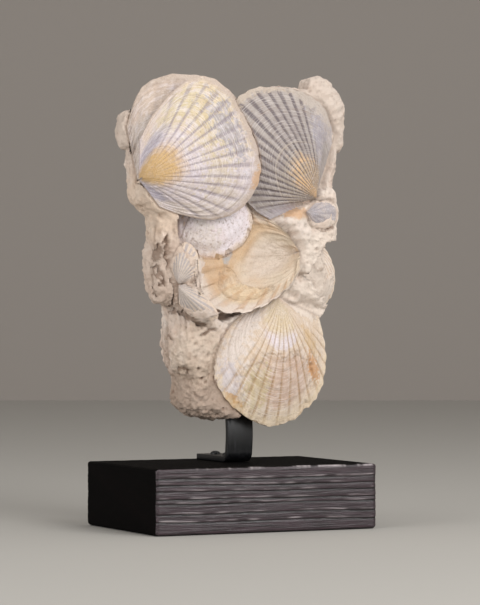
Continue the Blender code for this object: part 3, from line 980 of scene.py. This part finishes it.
@dataclass
class TimberPlinth:
    """The block that everything stands on, its rings standing proud on the long faces."""

    length: float = 213.0
    depth: float = 149.5
    height: float = 57.0
    corner: float = 2.2
    rings: tuple[float, ...] = (9.3, 14.8, 20.3, 27.0, 31.0, 39.5, 46.5)
    ring_groove: float = 0.6
    ring_width: float = 1.5
    grid: tuple[int, int] = (110, 560)
    end_wear: float = 1.1
    edge_chips: float = 0.5
    # the painted highlights stop this far from the ends, in mm
    highlight_margin: float = 2.5
    face: BrushedTimber = BrushedTimber("brushed_stained_timber", "#3b2c32", "#080405")
    # near black on the ends, top and underside: partly the end grain's real dark stain, partly painted shade
    end: BrushedTimber = BrushedTimber("end_grain_and_painted_shade_timber", "#080505", "#040303", 0.7, 0.04)

    def outline(self, share: np.ndarray) -> tuple[np.ndarray, np.ndarray]:
        """The block's rounded end outline.

        Args:
            share: how far round it, 0 to 1, from the middle of the underside.

        Returns:
            The y and z of each place in mm.
        """
        corners = [(0.0, 0.0)]
        half, radius = self.depth / 2.0, self.corner
        for y, z, start in ((-half + radius, radius, 270.0), (-half + radius, self.height - radius, 180.0),
                            (half - radius, self.height - radius, 90.0), (half - radius, radius, 0.0)):
            for step in range(7):
                angle = math.radians(start - 15.0 * step)
                corners.append((y + radius * math.cos(angle), z + radius * math.sin(angle)))
        corners.append((0.0, 0.0))
        path = np.array(corners)
        run = np.concatenate([[0.0], np.cumsum(np.linalg.norm(np.diff(path, axis=0), axis=1))])
        place = share * run[-1]
        return np.interp(place, run, path[:, 0]), np.interp(place, run, path[:, 1])

    def build(self) -> bpy.types.Object:
        """Models the plinth in place of its solid.

        Returns:
            The dressed piece.
        """
        bm = bmesh.new()
        bmesh.ops.create_grid(bm, x_segments=self.grid[0], y_segments=self.grid[1], size=0.5)
        bmesh.ops.translate(bm, verts=bm.verts, vec=(0.5, 0.5, 0.0))
        mesh = baked(bm, "plinth_block")
        flat = points_of(mesh)
        x = (flat[:, 0] - 0.5) * self.length
        y, z = self.outline(flat[:, 1])
        long_face = np.abs(y) > self.depth / 2.0 - 0.6
        wave = grain(rows(x / 60.0, 0.0 * x, z / 30.0), 4.0)
        slope = 0.018 * (x + 100.0)
        below = self.height - z + 1.1 * wave - 0.3 * slope
        groove = np.zeros(len(x))
        lighter_mark = np.zeros(len(x))
        # a painted highlight runs just above each ring's groove
        for ring in self.rings:
            groove = np.maximum(groove, 1.0 - np.abs(below - ring) / self.ring_width)
            lighter_mark = np.maximum(lighter_mark, np.exp(-((below - ring + 1.7) / 0.6) ** 2))
        groove = smooth(groove, 0.0, 1.0) ** 1.5
        fibre = grain(rows(x / 26.0, y / 1.4, z / 1.3), 5.0)
        deep = (self.ring_groove * groove + 0.18 * fibre + 0.1) * long_face
        y -= np.sign(y) * np.maximum(deep, 0.0)
        ends = smooth(np.abs(x), self.length / 2.0 - 1.8, self.length / 2.0)
        drop = self.end_wear * ends * (1.0 + 0.7 * grain(rows(x, y, z) / 9.0, 6.0))
        y -= 2.0 * y / self.depth * drop
        z -= (2.0 * z / self.height - 1.0) * drop
        edge = np.exp(-((self.height - z) / 1.6) ** 2) * smooth(np.abs(y), 70.0, 74.0)
        z -= self.edge_chips * edge * np.maximum(0.0, grain(rows(x / 7.0, y / 20.0), 7.0))
        z = np.maximum(z, 0.0)
        put_points(mesh, rows(x, y, z) * MM)
        store(mesh, "groove", np.where(long_face, 0.15 + 0.85 * groove, 0.8))
        lighter_mark *= 0.6 * long_face * smooth(grain(rows(x / 14.0, y, z / 6.0), 9.0), -0.3, 0.4)
        # a broken painted highlight runs along the top front edge
        broken = grain(rows(x / 24.0, 0.0 * x), 8.0)
        broken += 0.6 * grain(rows(x / 3.5, 0.0 * x), 10.0)
        edge_highlight = edge * smooth(broken + 0.003 * x, 0.0, 0.5)
        # the worn attribute holds both painted highlights, kept off the ends
        shown = np.abs(x) < self.length / 2.0 - self.highlight_margin
        store(mesh, "worn", np.maximum(edge_highlight, lighter_mark) * shown)
        bm = bmesh.new()
        bm.from_mesh(mesh)
        bmesh.ops.remove_doubles(bm, verts=bm.verts, dist=0.02 * MM)
        bmesh.ops.holes_fill(bm, edges=bm.edges[:], sides=0)
        bmesh.ops.recalc_face_normals(bm, faces=bm.faces)
        # the long faces take the face timber; the ends, top and underside take the near-black timber, partly
        # real end-grain stain and partly painted shade
        for face in bm.faces:
            face.material_index = 0 if abs(face.normal.y) > 0.5 else 1
        bm.to_mesh(mesh)
        bm.free()
        piece = finish_object("plinth_block", mesh, [self.face.material(), self.end.material()])
        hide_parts("plinth")
        return piece


@dataclass(frozen=True)
class BlackenedSteel:
    """Mild steel under a thin satin black coat, with faint lighter streaks along the bar."""

    name: str = "blackened_steel"
    coat: str = "#070709"
    lighter_mark: str = "#1f1f24"

    def material(self) -> bpy.types.Material:
        """Builds the steel's material.

        Returns:
            The material.
        """
        made, tree, shader = painted(self.name)
        where = add_node(tree, "ShaderNodeTexCoord").outputs["Object"]
        # roller marks about 1 mm apart along the bar
        drawn = add_node(tree, "ShaderNodeMapping", {"Vector": where, "Scale": (900.0, 900.0, 25.0)})
        marks = add_node(tree, "ShaderNodeTexNoise", {"Vector": drawn.outputs[0], "Scale": 1.0,
                                                      "Detail": 4.0}).outputs["Fac"]
        colour = mixed(tree, ramp(tree, marks, 0.5, 0.75, 0.5), self.coat, self.lighter_mark)
        tree.links.new(colour, shader.inputs["Base Color"])
        tree.links.new(ramp(tree, marks, 0.3, 0.7, 0.48, 0.3), shader.inputs["Roughness"])
        bumped(tree, marks, 0.15, 0.2)
        return made


@dataclass
class SteelHolder:
    """The flat bar that rises into the rock, its foot, and the two screws that hold the foot."""

    width: float = 25.0
    thick: float = 5.0
    x: float = 6.5
    y: float = -3.0
    top: float = 150.0
    bow: float = 1.2
    bend: float = 7.0
    foot_end: float = 58.0
    lie: float = 57.0
    corner: float = 0.7
    screws: tuple[tuple[str, float], ...] = (("foot_screw_near", 20.0), ("foot_screw_far", 45.0))
    screw_radius: float = 4.6
    screw_height: float = 2.6
    recess_half: float = 0.55
    recess_arm: float = 2.6
    recess_deep: float = 1.1
    finish: BlackenedSteel = BlackenedSteel()

    def path(self) -> np.ndarray:
        """The bar's middle line.

        Returns:
            The y and z of each step in mm, from the foot's end to the top.
        """
        low = self.lie + self.thick / 2.0 + GAP
        steps = [(y, low) for y in np.linspace(self.foot_end, self.y + self.bend, 8)[:-1]]
        for angle in np.linspace(0.0, math.pi / 2.0, 12):
            steps.append((self.y + self.bend * (1.0 - math.sin(angle)),
                          low + self.bend * (1.0 - math.cos(angle))))
        free = 0.38 * (self.top + GAP - low - self.bend)
        for share in np.linspace(0.0, 1.0, 14)[1:]:
            steps.append((self.y - self.bow * math.sin(math.pi * share), low + self.bend + free * share))
        steps.append((self.y, self.top))
        return np.array(steps)

    def bar(self) -> bpy.types.Object:
        """Models the bar in place of its solid.

        Returns:
            The dressed piece.
        """
        path = self.path()
        along = np.gradient(path, axis=0)
        along /= np.linalg.norm(along, axis=1, keepdims=True)
        bm = bmesh.new()
        bmesh.ops.create_cube(bm, size=1.0)
        bmesh.ops.scale(bm, verts=bm.verts, vec=(self.width, self.thick, 1.0))
        upright = [edge for edge in bm.edges if abs(edge.verts[0].co.z - edge.verts[1].co.z) > 0.5]
        bmesh.ops.bevel(bm, geom=upright, offset=self.corner, segments=3, profile=0.5, affect="EDGES",
                        material=-1)
        upright = [edge for edge in bm.edges if abs(edge.verts[0].co.z - edge.verts[1].co.z) > 0.5]
        bmesh.ops.subdivide_edges(bm, edges=upright, cuts=len(path) - 2, use_grid_fill=True)
        for vert in bm.verts:
            step = round((vert.co.z + 0.5) * (len(path) - 1))
            off = np.array((along[step][1], -along[step][0])) * vert.co.y
            place = path[step] - off
            vert.co = (self.x + vert.co.x, place[0], place[1])
        bmesh.ops.scale(bm, verts=bm.verts, vec=(MM, MM, MM))
        bmesh.ops.recalc_face_normals(bm, faces=bm.faces)
        name = "steel_bar_bent"
        piece = finish_object(name, baked(bm, name), [self.finish.material()], 30.0)
        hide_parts("steel_bar")
        return piece

    def screw(self, name: str, y: float) -> bpy.types.Object:
        """Models a round screw head with a cross recess in place of its solid.

        Args:
            name: the solid's name.
            y: its place along the foot in mm.

        Returns:
            The dressed piece.
        """
        bm = bmesh.new()
        base = bm.verts.new((self.screw_radius, 0.0, 0.0))
        turned = [base]
        for step in range(1, 9):
            angle = math.pi / 2.0 * step / 9.0
            turned.append(bm.verts.new((self.screw_radius * math.cos(angle), 0.0,
                                        self.screw_height * math.sin(angle))))
        edges = [bm.edges.new(pair) for pair in zip(turned, turned[1:])]
        bmesh.ops.spin(bm, geom=turned + edges, cent=(0, 0, 0), axis=(0, 0, 1), angle=2.0 * math.pi,
                       steps=48, use_merge=True)
        bmesh.ops.remove_doubles(bm, verts=bm.verts, dist=0.001)
        bmesh.ops.holes_fill(bm, edges=bm.edges[:], sides=0)
        crown = [face for face in bm.faces if face.calc_center_median().z > 0.8 * self.screw_height]
        bmesh.ops.inset_region(bm, faces=crown, thickness=0.25)
        for vert in bm.verts:
            slot = min(abs(vert.co.x), abs(vert.co.y)) < self.recess_half
            if slot and vert.co.z > 0.55 * self.screw_height and vert.co.xy.length < self.recess_arm:
                vert.co.z -= self.recess_deep
        bmesh.ops.scale(bm, verts=bm.verts, vec=(MM, MM, MM))
        lie = (self.lie + self.thick + 2.0 * GAP) * MM
        bmesh.ops.translate(bm, verts=bm.verts, vec=(self.x * MM, y * MM, lie))
        bmesh.ops.recalc_face_normals(bm, faces=bm.faces)
        head = name + "_head"
        piece = finish_object(head, baked(bm, head), [self.finish.material()], 30.0)
        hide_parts(name)
        return piece

    def build(self) -> None:
        """Models the bar and its screws."""
        self.bar()
        for name, y in self.screws:
            self.screw(name, y)


def spots(*places: tuple) -> tuple[Stain, ...]:
    """Stains on a fan, each from its middle, half sizes, colour, strength, raggedness and grain in mm."""
    return tuple(Stain((x, y, 0), (wide, long, 1), *looks) for x, y, wide, long, *looks in places)


CREAM_SHELL = FossilShell(
    "cream_lilac_shell", "#cdc1c8", "#cabcb7", "#8d828a", "#d6c3b4", "#dbd3d8", 0.4, (24.0, 22.0),
    0.7, 0.45, 1.2,
    stains=spots(
        (0.20, 0.85, 0.22, 0.4, "#d3bfad", 0.8, 0.5, 12.0),
        (0.35, 0.80, 0.20, 0.3, "#d0bc9c", 0.7, 0.8, 8.0),
        (0.33, 0.74, 0.17, 0.24, "#c9b98c", 0.45, 1.6, 3.5),
        (0.18, 0.66, 0.08, 0.22, "#cbbd97", 0.5, 1.2, 4.5),
        (0.42, 0.80, 0.14, 0.14, "#9895a2", 0.7, 1.3, 4.0),
        (0.60, 0.62, 0.14, 0.14, "#c6b58c", 0.5, 1.5, 3.5),
        (0.86, 0.8, 0.2, 0.26, "#cabcad", 0.6, 0.8, 9.0),
        (0.10, 0.40, 0.10, 0.20, "#a29aa6", 0.85, 0.3, 6.0),
        (0.96, 0.42, 0.10, 0.26, "#9a94a6", 0.8, 0.5, 6.0),
        (0.40, 0.02, 0.46, 0.33, "#cba873", 0.95, 0.12, 6.0),
    ),
    overlays=spots(
        (0.40, 0.02, 0.46, 0.33, "#c6a26c", 0.7, 0.12, 6.0),
        (0.5, 1.03, 0.6, 0.1, "#bcaa9c", 0.85, 0.5, 5.0),
        (0.62, 0.98, 0.04, 0.05, "#ca9e72", 0.6, 0.9, 3.0),
    ),
)
WORN_SHELL = FossilShell(
    "worn_cream_shell", "#bfafa3", "#c6bab1", "#a29086", "#c3b2a4", flecks=0.3, contrast=0.35, threads=0.3,
    stains=spots(
        (0.42, 0.88, 0.2, 0.1, "#c0b8c3", 0.85, 0.5, 6.0),
        (0.2, 0.8, 0.14, 0.2, "#c7b2a0", 0.7, 0.7, 8.0),
    ),
)
GREY_SHELL = FossilShell(
    "grey_ribbed_shell", "#a69c96", "#978d8a", "#5f5559", "#bbaa9b", "#b2a9a5", 0.3, (30.0, 20.0),
    0.9, 0.3, 1.2,
    stains=spots(
        (0.93, 0.65, 0.13, 0.5, "#b8aeac", 0.9, 0.6, 5.0),
        (0.86, 0.62, 0.07, 0.22, "#a39ea9", 0.7, 1.2, 3.0),
        (0.97, 0.45, 0.08, 0.35, "#9a928d", 0.8, 0.5, 6.0),
        (0.02, 0.55, 0.10, 0.6, "#a9a2aa", 0.8, 0.6, 4.0), (0.3, 0.1, 0.5, 0.4, "#a99b8d", 0.8, 0.4, 8.0),
        (0.58, 0.18, 0.27, 0.23, "#dfb88a", 0.9, 0.35, 5.0),
        (0.7, 0.22, 0.2, 0.16, "#a49686", 0.6, 0.6, 6.0),
        (0.3, 0.87, 0.3, 0.12, "#9a9089", 0.5, 0.6, 8.0),
    ),
    overlays=spots(
        (0.5, 1.0, 0.3, 0.06, "#bdae9f", 0.9, 0.8, 3.0),
        (0.85, 1.0, 0.12, 0.16, "#beb2a7", 0.8, 0.8, 5.0),
        (0.42, 0.505, 0.36, 0.008, "#bbb0a5", 0.6, 0.5, 3.0),
        (0.5, 0.42, 0.3, 0.006, "#b3a89d", 0.4, 0.5, 3.0),
    ),
)
LILAC_SHELL = FossilShell(
    "lilac_pitted_shell", "#ebe2e7", "#e8dadc", "#d1c3c5", "#e0cec0", flecks=0.35, contrast=0.25, specks=0.55,
    stains=spots((0.6, 0.75, 0.16, 0.3, "#d8d0c2", 0.5, 0.9, 6.0)),
)
PEACH_SHELL = FossilShell(
    "peach_shell_inside", "#cdb79f", "#cfbea9", "#c09a74", "#d9cabd", "#d3c4b4", 0.15, (10.0, 5.0),
    0.6, 0.06, 0.95, 0.05, (0.32, 0.5), 0.03,
    stains=spots(
        (0.2, 0.85, 0.16, 0.25, "#cab7a2", 0.8, 0.5, 9.0),
        (0.32, 0.64, 0.26, 0.22, "#cba982", 0.8, 0.2, 12.0),
        (0.50, 0.84, 0.10, 0.16, "#cba781", 0.7, 0.3, 9.0),
        (0.46, 0.22, 0.3, 0.24, "#cbbbac", 0.9, 0.15, 8.0),
        (0.66, 0.68, 0.10, 0.14, "#d8bf9d", 0.8, 0.5, 4.0),
        (0.95, 0.45, 0.12, 0.6, "#d8c6b0", 0.9, 0.3, 8.0),
        (0.66, 0.99, 0.2, 0.16, "#d3c3b6", 0.9, 0.2, 10.0),
        (0.17, 0.95, 0.1, 0.3, "#d8c8b8", 0.8, 0.4, 8.0),
        (0.42, 0.66, 0.05, 0.05, "#a9abaf", 0.8, 0.6, 3.0),
    ),
)
TAN_SHELL = FossilShell(
    "tan_layered_shell", "#dac7b3", "#d4bea7", "#a8865f", "#ccb495", "#e0d3c9", 0.35, (22.0, 12.0),
    0.85, 0.4, 1.2, 0.25,
    stains=spots(
        (0.47, 0.66, 0.2, 0.23, "#c9ad9b", 0.85, 0.3, 8.0),
        # the pale band along the lower margin is painted light, lifting the margin where it faces down
        (0.45, 1.0, 0.5, 0.14, "#e2cfb8", 0.85, 0.6, 6.0),
        (0.5, 0.35, 0.2, 0.07, "#dfd4d9", 0.9, 0.5, 4.0),
        (0.55, 0.16, 0.34, 0.17, "#d7c5a5", 0.7, 0.4, 8.0),
        (0.84, 0.66, 0.13, 0.34, "#dbd0ca", 0.75, 1.1, 5.0),
        (0.60, 0.74, 0.07, 0.2, "#c3b385", 0.6, 1.1, 4.0),
        (0.72, 0.88, 0.07, 0.12, "#c8c1c8", 0.7, 1.0, 4.0),
    ),
    overlays=spots(
        (0.27, 0.76, 0.03, 0.15, "#c98f55", 0.7, 1.4, 2.0),
        (0.2, 0.6, 0.05, 0.2, "#ceae80", 0.5, 0.9, 5.0),
        (0.66, 0.97, 0.05, 0.05, "#c79757", 0.75, 0.9, 3.5),
        (0.45, 0.98, 0.3, 0.05, "#e0ccae", 0.6, 0.9, 6.0),
    ),
)
BLUE_SHELL = FossilShell(
    "grey_blue_shell", "#c9bbb0", "#cfbfaf", "#97929b", "#dac6b3", flecks=0.1, contrast=0.6, threads=0.15,
    stains=spots((0.5, 1.0, 0.6, 0.35, "#d9c4b0", 0.85, 0.9, 4.0)),
)
ROSY_SHELL = FossilShell(
    "rosy_worn_shell", "#f0dfcc", "#f2e2d2", "#cfb198", "#efdcc6", flecks=0.25, contrast=0.7,
)
EAR_SHELL = FossilShell(
    "blue_grey_ear_shell", "#a8a2a8", "#c4b7b0", "#8f8890", "#d8c4b3", flecks=0.3, contrast=0.5,
)

VALVES = (
    ScallopValve("scallop_upper_left", (-99, -22, 306), 72, -11, 3, 70,
                 (35, 65, 105, 114, 111, 111, 110, 100, 82, 50, 30),
                 2.1, 17, 1.0, 3.2, CREAM_SHELL, groove_share=0.2, rim_flat=0.75,
                 worn=((0.5, 1.08, 0.8, 0.19), (0.0, 0.5, 0.16, 0.5), (1.0, 0.6, 0.14, 0.5)),
                 stops=(0.30, 0.62, 0.79, 0.9), chips=0.015, terraces=0.6, seed=1.0),
    ScallopValve("scallop_behind_upper_left", (-93, -6, 305), 52, -14, 8, 62,
                 (50, 80, 97, 107, 115, 117, 113, 103, 88, 70, 50),
                 2.4, 9, 0.4, 3.0, WORN_SHELL,
                 under=("scallop_upper_left", "scallop_upper_right", "scallop_below_upper_left"),
                 crusts=((0.1, 0.75, 0.2, 0.3, 1.6), (0.35, 0.97, 0.3, 0.12, 1.2)),
                 columns=140, rows=90, terraces=1.4, seed=2.0),
    ScallopValve("scallop_upper_right", (70, -26, 291), -46, 3, 0, 66,
                 (49, 62, 75, 91, 109, 117, 115, 105, 95, 83, 61),
                 2.3, 19, 1.05, 3.0, GREY_SHELL, under=("scallop_upper_left", "hinge_ear"),
                 groove_share=0.34, rim_flat=0.6, stops=(0.5, 0.8), stop_depth=0.2, columns=200,
                 worn=((0.97, 0.6, 0.17, 0.9), (0.5, 1.09, 0.5, 0.13), (0.0, 0.5, 0.08, 0.8)),
                 laps=((1.05, 0.9, 0.07, 0.25, 0.3), (0.0, 0.1, 0.15, 0.2, 0.6)),
                 crusts=((0.45, 1.0, 0.4, 0.06, 0.8), (0.9, 0.85, 0.12, 0.2, 0.6)), seed=3.0),
    ScallopValve("scallop_below_upper_left", (-32, -20, 307), 174, -10, -5, 60,
                 (36, 54, 64, 68, 70, 68, 64, 48, 35),
                 2.2, 15, 0.4, 2.6, LILAC_SHELL, under=("scallop_upper_left",), columns=150, rows=110,
                 groove_share=0.2, chips=0.055, terraces=1.2, pitted=1.3,
                 peels=((0.86, 0.8, 0.1, 0.2, 0.8), (0.3, 0.95, 0.12, 0.1, 0.7)),
                 laps=((1.0, 0.9, 0.12, 0.3, 0.5),), seed=4.0),
    ScallopValve("scallop_middle_inside", (52, -30, 244), -103, 0, 10, 72,
                 (20, 47, 75, 85, 94, 103, 104, 82, 52, 31, 18),
                 2.0, 15, 2.6, 2.6, PEACH_SHELL, Shows.INSIDE,
                 under=("scallop_below_upper_left", "scallop_upper_right", "scallop_upper_left"),
                 groove_share=0.3, rib_growth=(0.55, 0.95), rim_flat=0.0, terraces=0.9, pitted=0.0,
                 crusts=((0.62, 0.66, 0.14, 0.12, -4.5), (0.46, 0.26, 0.2, 0.2, -1.0),
                         (1.0, 0.6, 0.08, 0.5, -2.0)),
                 columns=140, rows=110, seed=5.0),
    ScallopValve("scallop_lower", (33, -26, 204), -178, 2, -3, 70,
                 (47, 60, 80, 99, 110, 115, 109, 101, 88, 59, 28),
                 3.0, 17, 1.15, 3.2, TAN_SHELL, under=("scallop_middle_inside",),
                 groove_share=0.12, rim_flat=0.2, chips=0.034, skirt=14.0,
                 stops=(0.5, 0.57, 0.63, 0.67, 0.72, 0.82), stop_depth=0.22, terraces=0.55,
                 worn=((0.93, 0.7, 0.23, 0.7), (0.0, 0.3, 0.2, 0.5)),
                 peels=((0.49, 0.73, 0.21, 0.3, 0.6), (0.3, 0.8, 0.03, 0.12, 0.5)),
                 laps=((0.0, 0.45, 0.12, 0.5, 0.5), (0.92, 1.03, 0.2, 0.09, 0.2)), seed=6.0),
    ScallopValve("small_scallop_left_upper", (-66, -32, 215), 24, -40, 6, 52,
                 (15, 26, 37, 34, 27, 20, 15),
                 2.0, 12, 0.4, 1.6, BLUE_SHELL, under=("small_scallop_left_lower",), ribbed=0.95,
                 laps=((0.6, 1.15, 0.6, 0.6, 0.3), (0.1, 1.15, 0.24, 0.42, 0.3), (1.1, 0.8, 0.3, 0.5, 0.3)),
                 columns=100, rows=60, chips=0.03, skirt=13.0, seed=7.0),
    ScallopValve("small_scallop_left_lower", (-66, -32, 214), 128, -36, -6, 52,
                 (14, 15, 23, 44, 36, 26, 16),
                 2.0, 12, 0.4, 1.6, BLUE_SHELL, ribbed=0.95,
                 laps=((0.1, 1.1, 0.5, 0.6, 0.3), (0.6, 1.15, 0.5, 0.55, 0.3), (-0.1, 0.8, 0.3, 0.5, 0.3)),
                 columns=100, rows=60, chips=0.03, skirt=13.0, seed=8.0),
    ScallopValve("scallop_right_side", (64, -16, 252), 142, 32, 0, 60,
                 (24, 41, 60, 69, 68, 61, 51, 40, 30),
                 2.2, 13, 0.45, 2.4, ROSY_SHELL,
                 under=("scallop_middle_inside", "scallop_lower", "hinge_ear"),
                 laps=((0.9, 0.5, 0.55, 0.9, 0.6), (0.4, 0.1, 0.6, 0.35, 0.6), (0.5, 0.95, 0.24, 0.4, 0.6)),
                 columns=110, rows=70, skirt=12.0, seed=9.0),
    ScallopValve("hinge_ear", (57, -36, 279), 100, 8, 0, 50,
                 (14, 27, 34, 34, 28, 20, 14),
                 2.6, 5, 0.3, 2.4, EAR_SHELL, laps=((0.9, 1.0, 0.5, 0.5, 0.5), (0.1, 1.1, 0.4, 0.3, 0.4)),
                 columns=80, rows=60, terraces=0.8, seed=10.0),
)


@dataclass
class Studio:
    """A pale floor with a grey wall far behind it, soft lights and the photograph's camera."""

    floor_colour: str = "#aaa7a1"
    wall_colour: str = "#a49d97"
    wall_behind: float = 3.4
    half_width: float = 8.0
    sky: str = "#dfdcd9"
    sky_strength: float = 0.75
    lights_aim: float = 0.22
    lights: tuple[tuple, ...] = (
        ("key", 34.0, 1.2, 42.0, 1.1, 1.9),
        ("fill", 34.0, 1.6, -48.0, 0.4, 2.2),
        ("top", 7.0, 1.4, 120.0, 2.2, 0.6),
    )

    def plain(self, name: str, colour: str) -> bpy.types.Material:
        """A matt painted surface.

        Args:
            name: the material's name.
            colour: its colour.

        Returns:
            The material.
        """
        made, _, shader = painted(name)
        shader.inputs["Base Color"].default_value = linear(colour)
        shader.inputs["Roughness"].default_value = 0.85
        return made

    def stand(self) -> None:
        """Lays the floor and stands the wall behind it, square to the camera."""
        heading = Matrix.Rotation(math.radians(CAMERA_HEADING), 4, "Z")
        for name, colour, size, place, turn in (
            ("floor", self.floor_colour, self.half_width, (0.0, 0.0, -0.0005), 0.0),
            ("wall", self.wall_colour, self.half_width, (0.0, self.wall_behind, 0.0), 90.0),
        ):
            bm = bmesh.new()
            bmesh.ops.create_grid(bm, x_segments=1, y_segments=1, size=size)
            tilt = Matrix.Translation(place) @ Matrix.Rotation(math.radians(turn), 4, "X")
            bmesh.ops.transform(bm, matrix=heading @ tilt, verts=bm.verts)
            mesh = baked(bm, name)
            mesh.materials.append(self.plain(f"studio_{name}", colour))
            board = bpy.data.objects.new(name, mesh)
            bpy.context.scene.collection.objects.link(board)

    def light(self, name: str, watts: float, size: float, azimuth: float, height: float,
              distance: float) -> None:
        """Hangs a square soft light that looks at the fossil.

        Args:
            name: the light's name.
            watts: its power.
            size: its side in metres.
            azimuth: degrees to the right of the camera, seen from the object.
            height: its height in metres.
            distance: how far out it stands in metres.
        """
        lamp = bpy.data.lights.new(name, "AREA")
        lamp.energy = watts
        lamp.size = size
        lit = bpy.data.objects.new(name, lamp)
        angle = math.radians(CAMERA_HEADING - 90.0 + azimuth)
        lit.location = (distance * math.cos(angle), distance * math.sin(angle), height)
        aim = Vector((0.0, 0.0, self.lights_aim)) - lit.location
        lit.rotation_euler = aim.to_track_quat("-Z", "Y").to_euler()
        bpy.context.scene.collection.objects.link(lit)

    def build(self) -> None:
        """Sets the camera, the lights, the floor and the wall."""
        scene = bpy.context.scene
        scene.view_settings.view_transform = "Standard"
        lens = bpy.data.cameras.new("camera")
        lens.sensor_width = SENSOR_MM
        lens.lens = FOCAL_PIXELS * SENSOR_MM / PHOTO_HEIGHT
        camera = bpy.data.objects.new("camera", lens)
        camera.location = CAMERA_PLACE
        camera.rotation_euler = (math.radians(90.0), 0.0, math.radians(CAMERA_HEADING))
        scene.collection.objects.link(camera)
        scene.camera = camera
        world = bpy.data.worlds.new("studio")
        world.use_nodes = True
        sky = world.node_tree.nodes["Background"]
        sky.inputs["Color"].default_value = linear(self.sky)
        sky.inputs["Strength"].default_value = self.sky_strength
        scene.world = world
        for lamp in self.lights:
            self.light(*lamp)
        self.stand()


def main() -> None:
    """Builds and dresses every piece, in order."""
    logging.basicConfig(level=logging.INFO, format="%(message)s")
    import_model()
    Studio().build()
    TimberPlinth().build()
    SteelHolder().build()
    valves = {valve.name: valve for valve in VALVES}
    for valve in valves.values():
        valve.build(valves)
    RockMatrix().build(valves)


if __name__ == "__main__":
    main()
